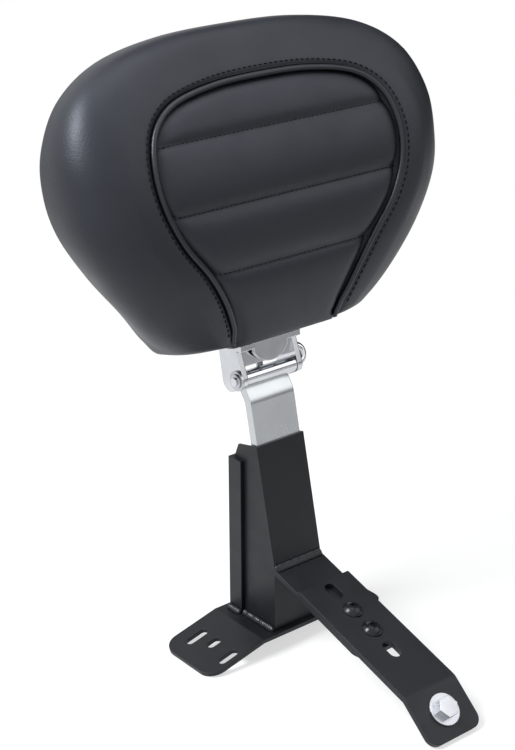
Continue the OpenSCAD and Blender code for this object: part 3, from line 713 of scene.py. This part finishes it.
points, ways = along(top_stitch_path(), pitch=4.3)
points[:, 1] -= STITCH_LIFT
verts, faces = stitch_mesh(points, ways, length=2.9, radius=0.52, tilt=STITCH_TILT)
mesh_piece("top_stitches", to_row(verts), faces, thread, "pad", "vinyl")

points, ways = zip(*[along(seam_path(seam), pitch=3.6) for seam in SEAMS])
verts, faces = stitch_mesh(np.vstack(points), np.vstack(ways), length=2.7, radius=0.32)
mesh_piece("channel_stitches", to_row(verts), faces, thread, "pad", "vinyl")

# Back shell and pouch
DOME_RINGS, DOME_SHARES = 9, (0.12, 0.3, 0.5, 0.72, 0.9)
SHELL_EDGE, SHELL_CROWN, SHARP_ANGLE = 2, 0.4, 38
NOTCH_GAP, NOTCH_DEEP, NOTCH_LOW, NOTCH_HIGH = 0.5, 5.5, -97, -57
POUCH_CROWN, POUCH_SQUARE, POUCH_POINTS = 0.8, 0.35, 200
POUCH_SEAT, POUCH_OPEN = 0.7, -1
PIPING_R, PIPING_DOWN, PIPING_IN = 1.3, 3.0, 0.005


def shrunk(loop, share):
    """An outline drawn in towards its middle by a share of its size."""
    mid = np.array([0, (loop[:, 1].max() + loop[:, 1].min()) / 2])
    return mid + (1 - share) * (loop - mid)


def dome(loop, depth, rounding, lift=0.0, crowned=0.0):
    """Rings of a shallow dome behind the pad, with a rounded edge and a crowned top."""
    reach, top = loop[:, 0].max(), BACK_Y + depth
    rings = [ring_at(loop, BACK_Y + lift)]
    for a in np.radians(np.linspace(0, 90, DOME_RINGS)):
        inner = shrunk(loop, rounding * (1 - math.cos(a)) / reach)
        rings.append(ring_at(inner, top - rounding * (1 - math.sin(a))))
    for share in DOME_SHARES:
        rings.append(ring_at(shrunk(inner, share), top + crowned * (1 - (1 - share) ** 2)))
    return rings


def cut(obj, verts, faces):
    """Takes a closed shape away from a mesh piece."""
    tool = new_object("cutter", new_mesh("cutter", verts, faces))
    mod = obj.modifiers.new("cut", "BOOLEAN")
    mod.operation, mod.solver, mod.object = "DIFFERENCE", "EXACT", tool
    bpy.context.view_layer.update()
    made = bpy.data.meshes.new_from_object(obj.evaluated_get(bpy.context.evaluated_depsgraph_get()))
    obj.modifiers.remove(mod)
    obj.data = made
    bpy.data.objects.remove(tool)
    made.polygons.foreach_set("use_smooth", [True] * len(made.polygons))
    made.set_sharp_from_angle(angle=math.radians(SHARP_ANGLE))


def box_mesh(low, high):
    """A closed box between two corners."""
    verts = [(x, y, z) for x in (low[0], high[0]) for y in (low[1], high[1]) for z in (low[2], high[2])]
    faces = [(0, 1, 3, 2), (4, 6, 7, 5), (0, 4, 5, 1), (2, 3, 7, 6), (0, 2, 6, 4), (1, 5, 7, 3)]
    return np.array(verts), faces


def pouch_outline():
    """A rounded oblong, with its points spaced evenly from the middle of its top."""
    a = 2 * np.pi * np.arange(2 * POUCH_POINTS) / (2 * POUCH_POINTS)
    x, h = (np.sign(c) * np.abs(c) ** POUCH_SQUARE for c in (np.sin(a), np.cos(a)))
    middle, half = (POUCH_LOW + POUCH_HIGH) / 2, (POUCH_HIGH - POUCH_LOW) / 2
    loop = np.stack([POUCH_HALF * x, middle + half * h], 1)
    loop = np.vstack([loop, loop[:1]])
    return points_at(loop, np.arange(POUCH_POINTS) * run(loop)[-1] / POUCH_POINTS)


outer = dome(inset(BACK, COVER_INSET), COVER_DEPTH, COVER_DEPTH - SHELL_EDGE, crowned=SHELL_CROWN)
inner_depth = COVER_DEPTH - COVER_T
inner = dome(inset(BACK, COVER_INSET + COVER_T), inner_depth, inner_depth - SHELL_EDGE)
verts, faces = loft(inner[::-1] + outer)
back_shell = mesh_piece("back_shell", to_row(verts), faces, back_vinyl, "pad", "shell", "back_cover")
notch_half = BRACKET_W / 2 + NOTCH_GAP
verts, faces = box_mesh((-notch_half, BACK_Y - 1, NOTCH_LOW), (notch_half, BACK_Y + NOTCH_DEEP, NOTCH_HIGH))
cut(back_shell, to_row(verts), faces)

pouch_loop = pouch_outline()
pouch_top = COVER_DEPTH + POUCH_DEPTH
verts, faces = loft(dome(pouch_loop, pouch_top, POUCH_DEPTH, POUCH_LIFT, POUCH_CROWN))
back_pouch = mesh_piece("back_pouch", to_row(verts), faces, pouch_vinyl, "pad", "vinyl", "rear_pouch")
seat = dome(inset(BACK, COVER_INSET - GAP), COVER_DEPTH + POUCH_SEAT, COVER_DEPTH - SHELL_EDGE, POUCH_OPEN)
verts, faces = loft(seat)
cut(back_pouch, to_row(verts), faces)

piping = ring_at(shrunk(pouch_loop, PIPING_IN), BACK_Y + pouch_top - PIPING_DOWN)
verts, faces = tube(piping, PIPING_R, sides=8, is_closed=True)
mesh_piece("pouch_piping", to_row(verts), faces, welt_vinyl, "pad", "vinyl")

# Welds, whose places repeat those of the part's source
FRONT_LEAN, LEG_SLOPE = math.radians(12.6), math.radians(17)
FACE_Y, SPLIT_Y, REAR_Y = -21.4, 12, 25.2
PLATE_Z, LEG_Z = 3.0, 51.4
FRONT_HALF, REAR_HALF = 20.8, 23.8
WELD_R, RIPPLE, ARC_POINTS, RIPPLE_POINTS = 3.6, 1.7, 7, 4


def weld(start, end, out_a, out_b):
    """A rippled fillet between two points in mm, filling the corner between two directions."""
    a, b = np.array(start, float), np.array(end, float)
    u, w = np.array(out_a, float), np.array(out_b, float)
    length = np.linalg.norm(b - a)
    count = int(length / RIPPLE * RIPPLE_POINTS)
    verts = []
    for share in np.arange(count + 1) / count:
        p, s = a + (b - a) * share, share * length
        r = WELD_R * (0.93 + 0.13 * math.sin(math.pi * (s / RIPPLE % 1.0)) ** 0.7)
        r *= 1 + 0.05 * math.sin(s * 0.9 + WELD_R)
        r *= min(1.0, min(s, length - s) / (0.7 * WELD_R) + 0.35) ** 0.5
        verts.append(p - (u + w) * 0.05)
        for t in np.linspace(0, math.pi / 2, ARC_POINTS):
            verts.append(p + r * (u * math.cos(t) + w * math.sin(t)))
    n = ARC_POINTS + 1
    return verts, side_faces(count + 1, n) + end_faces(count + 1, n)


def weld_lines():
    """Start, end and two outward directions of each weld: above the leg, and along both channels."""
    up_face = (0, math.sin(FRONT_LEAN), math.cos(FRONT_LEAN))
    down_leg = (0, -math.cos(LEG_SLOPE), -math.sin(LEG_SLOPE))
    lines = [((-FRONT_HALF, FACE_Y, LEG_Z), (FRONT_HALF, FACE_Y, LEG_Z), down_leg, up_face)]
    for side in (-1, 1):
        for half, front, rear in ((FRONT_HALF, FACE_Y, SPLIT_Y), (REAR_HALF, SPLIT_Y, REAR_Y)):
            x = side * half
            lines.append(((x, front, PLATE_Z), (x, rear, PLATE_Z), (side, 0, 0), (0, 0, 1)))
    return lines


verts, faces = [], []
for line in weld_lines():
    more_verts, more_faces = weld(*line)
    faces += [tuple(len(verts) + i for i in f) for f in more_faces]
    verts += more_verts
mesh_piece("weld_ripples", np.array(verts) * MM, faces, weld_black, "bracket", "black_steel", "weld_beads")

# Floor, cards, lights and world
AIM = Vector((0, 0, 0.2))
FLOOR_SIZE, FLOOR_DOWN = 14, 0.0005
FLOOR_TONE, FLOOR_GLOW = 0.42, 0.62
PLAIN_FROM, PLAIN_BEYOND = 0.3, 0.75
WORLD_LIGHT = 0.3


def stage_plane(name, centre, size, facing, material):
    """A flat sheet of the stage, which isn't part of the object."""
    w, h = size[0] / 2, size[1] / 2
    data = bpy.data.meshes.new(name)
    data.from_pydata([(-w, -h, 0), (w, -h, 0), (w, h, 0), (-w, h, 0)], [], [(0, 1, 2, 3)])
    data.materials.append(material)
    obj = new_object(name, data)
    obj.location = centre
    obj.rotation_euler = Vector(facing).to_track_quat("Z", "Y").to_euler()
    return obj


def floor_material():
    """A floor that keeps the object's shadow near it and is plain white further off."""
    m = bpy.data.materials.new("studio_floor")
    t, out = bare_tree(m, "ShaderNodeOutputMaterial")
    seen = seen_directly(t)
    glow = node(t, "ShaderNodeEmission", Color=(1, 1, 1, 1))
    amount = node(t, "ShaderNodeMath", operation="MULTIPLY")
    amount.inputs[1].default_value = FLOOR_GLOW
    t.links.new(seen, amount.inputs[0])
    t.links.new(amount.outputs[0], glow.inputs["Strength"])
    near = t.nodes.new("ShaderNodeAddShader")
    lit = node(t, "ShaderNodeBsdfDiffuse", Color=(FLOOR_TONE, FLOOR_TONE, FLOOR_TONE, 1))
    t.links.new(lit.outputs[0], near.inputs[0])
    t.links.new(glow.outputs[0], near.inputs[1])
    far = node(t, "ShaderNodeEmission", Color=(1, 1, 1, 1))
    t.links.new(seen, far.inputs["Strength"])
    coords = t.nodes.new("ShaderNodeTexCoord")
    reach = node(t, "ShaderNodeVectorMath", operation="LENGTH")
    t.links.new(coords.outputs["Object"], reach.inputs[0])
    mix = t.nodes.new("ShaderNodeMixShader")
    t.links.new(spread(t, reach.outputs["Value"], 0.0, 1.0, PLAIN_FROM, PLAIN_BEYOND), mix.inputs["Fac"])
    t.links.new(near.outputs[0], mix.inputs[1])
    t.links.new(far.outputs[0], mix.inputs[2])
    t.links.new(mix.outputs[0], out.inputs["Surface"])
    return m


def card(name, at, size, facing, level):
    """A studio card that only reflections see."""
    m = bpy.data.materials.new(name)
    t, out = bare_tree(m, "ShaderNodeOutputMaterial")
    glow = node(t, "ShaderNodeEmission", Color=(level, level, level * 1.03, 1), Strength=1.0)
    t.links.new(glow.outputs[0], out.inputs["Surface"])
    obj = stage_plane(name, at, size, facing, m)
    obj.visible_camera = False
    obj.visible_diffuse = False
    obj.visible_shadow = False
    obj.visible_transmission = False


def softbox(name, at, size, power, tint=(1, 1, 1)):
    """A rectangular lamp aimed at the object."""
    data = bpy.data.lights.new(name, "AREA")
    data.shape = "RECTANGLE"
    data.size, data.size_y = size
    data.energy = power
    data.color = tint
    obj = new_object(name, data)
    obj.location = at
    obj.rotation_euler = (AIM - Vector(at)).to_track_quat("-Z", "Y").to_euler()


def white_world():
    """White wherever it is seen or reflected, and a weaker light on the object."""
    world = bpy.data.worlds.new("studio")
    bpy.context.scene.world = world
    t, out = bare_tree(world, "ShaderNodeOutputWorld")
    sky = node(t, "ShaderNodeBackground", Color=(1, 1, 1, 1))
    t.links.new(spread(t, seen_directly(t), WORLD_LIGHT, 1.0, 0.0, 1.0), sky.inputs["Strength"])
    t.links.new(sky.outputs[0], out.inputs["Surface"])


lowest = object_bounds()[0].z
stage_plane("floor", (0, 0, lowest - FLOOR_DOWN), (FLOOR_SIZE, FLOOR_SIZE), (0, 0, 1), floor_material())
softbox("key", at=(-1.45, 0.3, 1.75), size=(1.0, 1.0), power=62, tint=(0.95, 0.975, 1))
softbox("overhead", at=(0.5, -0.1, 2.1), size=(1.4, 1.4), power=11)
softbox("fill", at=(1.35, -1.45, 1.45), size=(1.7, 1.3), power=5.5, tint=(0.97, 0.985, 1))
card("front_card", at=(1.25, -1.55, 0.45), size=(3.4, 0.36), facing=(-0.6, 0.8, 0), level=0.04)
card("right_card", at=(1.9, 0.5, 0.5), size=(2.6, 1.6), facing=(-1, -0.2, 0), level=0.05)
card("floor_card", at=(0.9, -1.0, 0.02), size=(2.2, 0.95), facing=(0, 0, 1), level=0.4)
card("high_card", at=(1.5, 0.9, 1.7), size=(2.2, 1.8), facing=(-0.6, -0.35, -0.7), level=0.08)
white_world()

# Camera, fitted to the photograph
LENS_MM, SENSOR_MM, ROLL = 82.02, 36, math.radians(-0.25)
EYE, TARGET = Vector((-0.680657, -0.811725, 0.633270)), Vector((0, 0.0222, 0.17744))


def camera_matrix():
    """The camera's place, looking from EYE to TARGET with a slight roll."""
    back = (EYE - TARGET).normalized()
    level = Vector((0, 0, 1)).cross(back).normalized()
    upright = back.cross(level)
    right = level * math.cos(ROLL) + upright * math.sin(ROLL)
    up = upright * math.cos(ROLL) - level * math.sin(ROLL)
    return Matrix((*zip(right, up, back, EYE), (0, 0, 0, 1)))


scene = bpy.context.scene
scene.view_settings.view_transform = "Standard"
camera = new_object("camera", bpy.data.cameras.new("camera"))
camera.data.lens = LENS_MM
camera.data.sensor_width = SENSOR_MM
camera.data.sensor_fit = "AUTO"
camera.matrix_world = camera_matrix()
scene.camera = camera
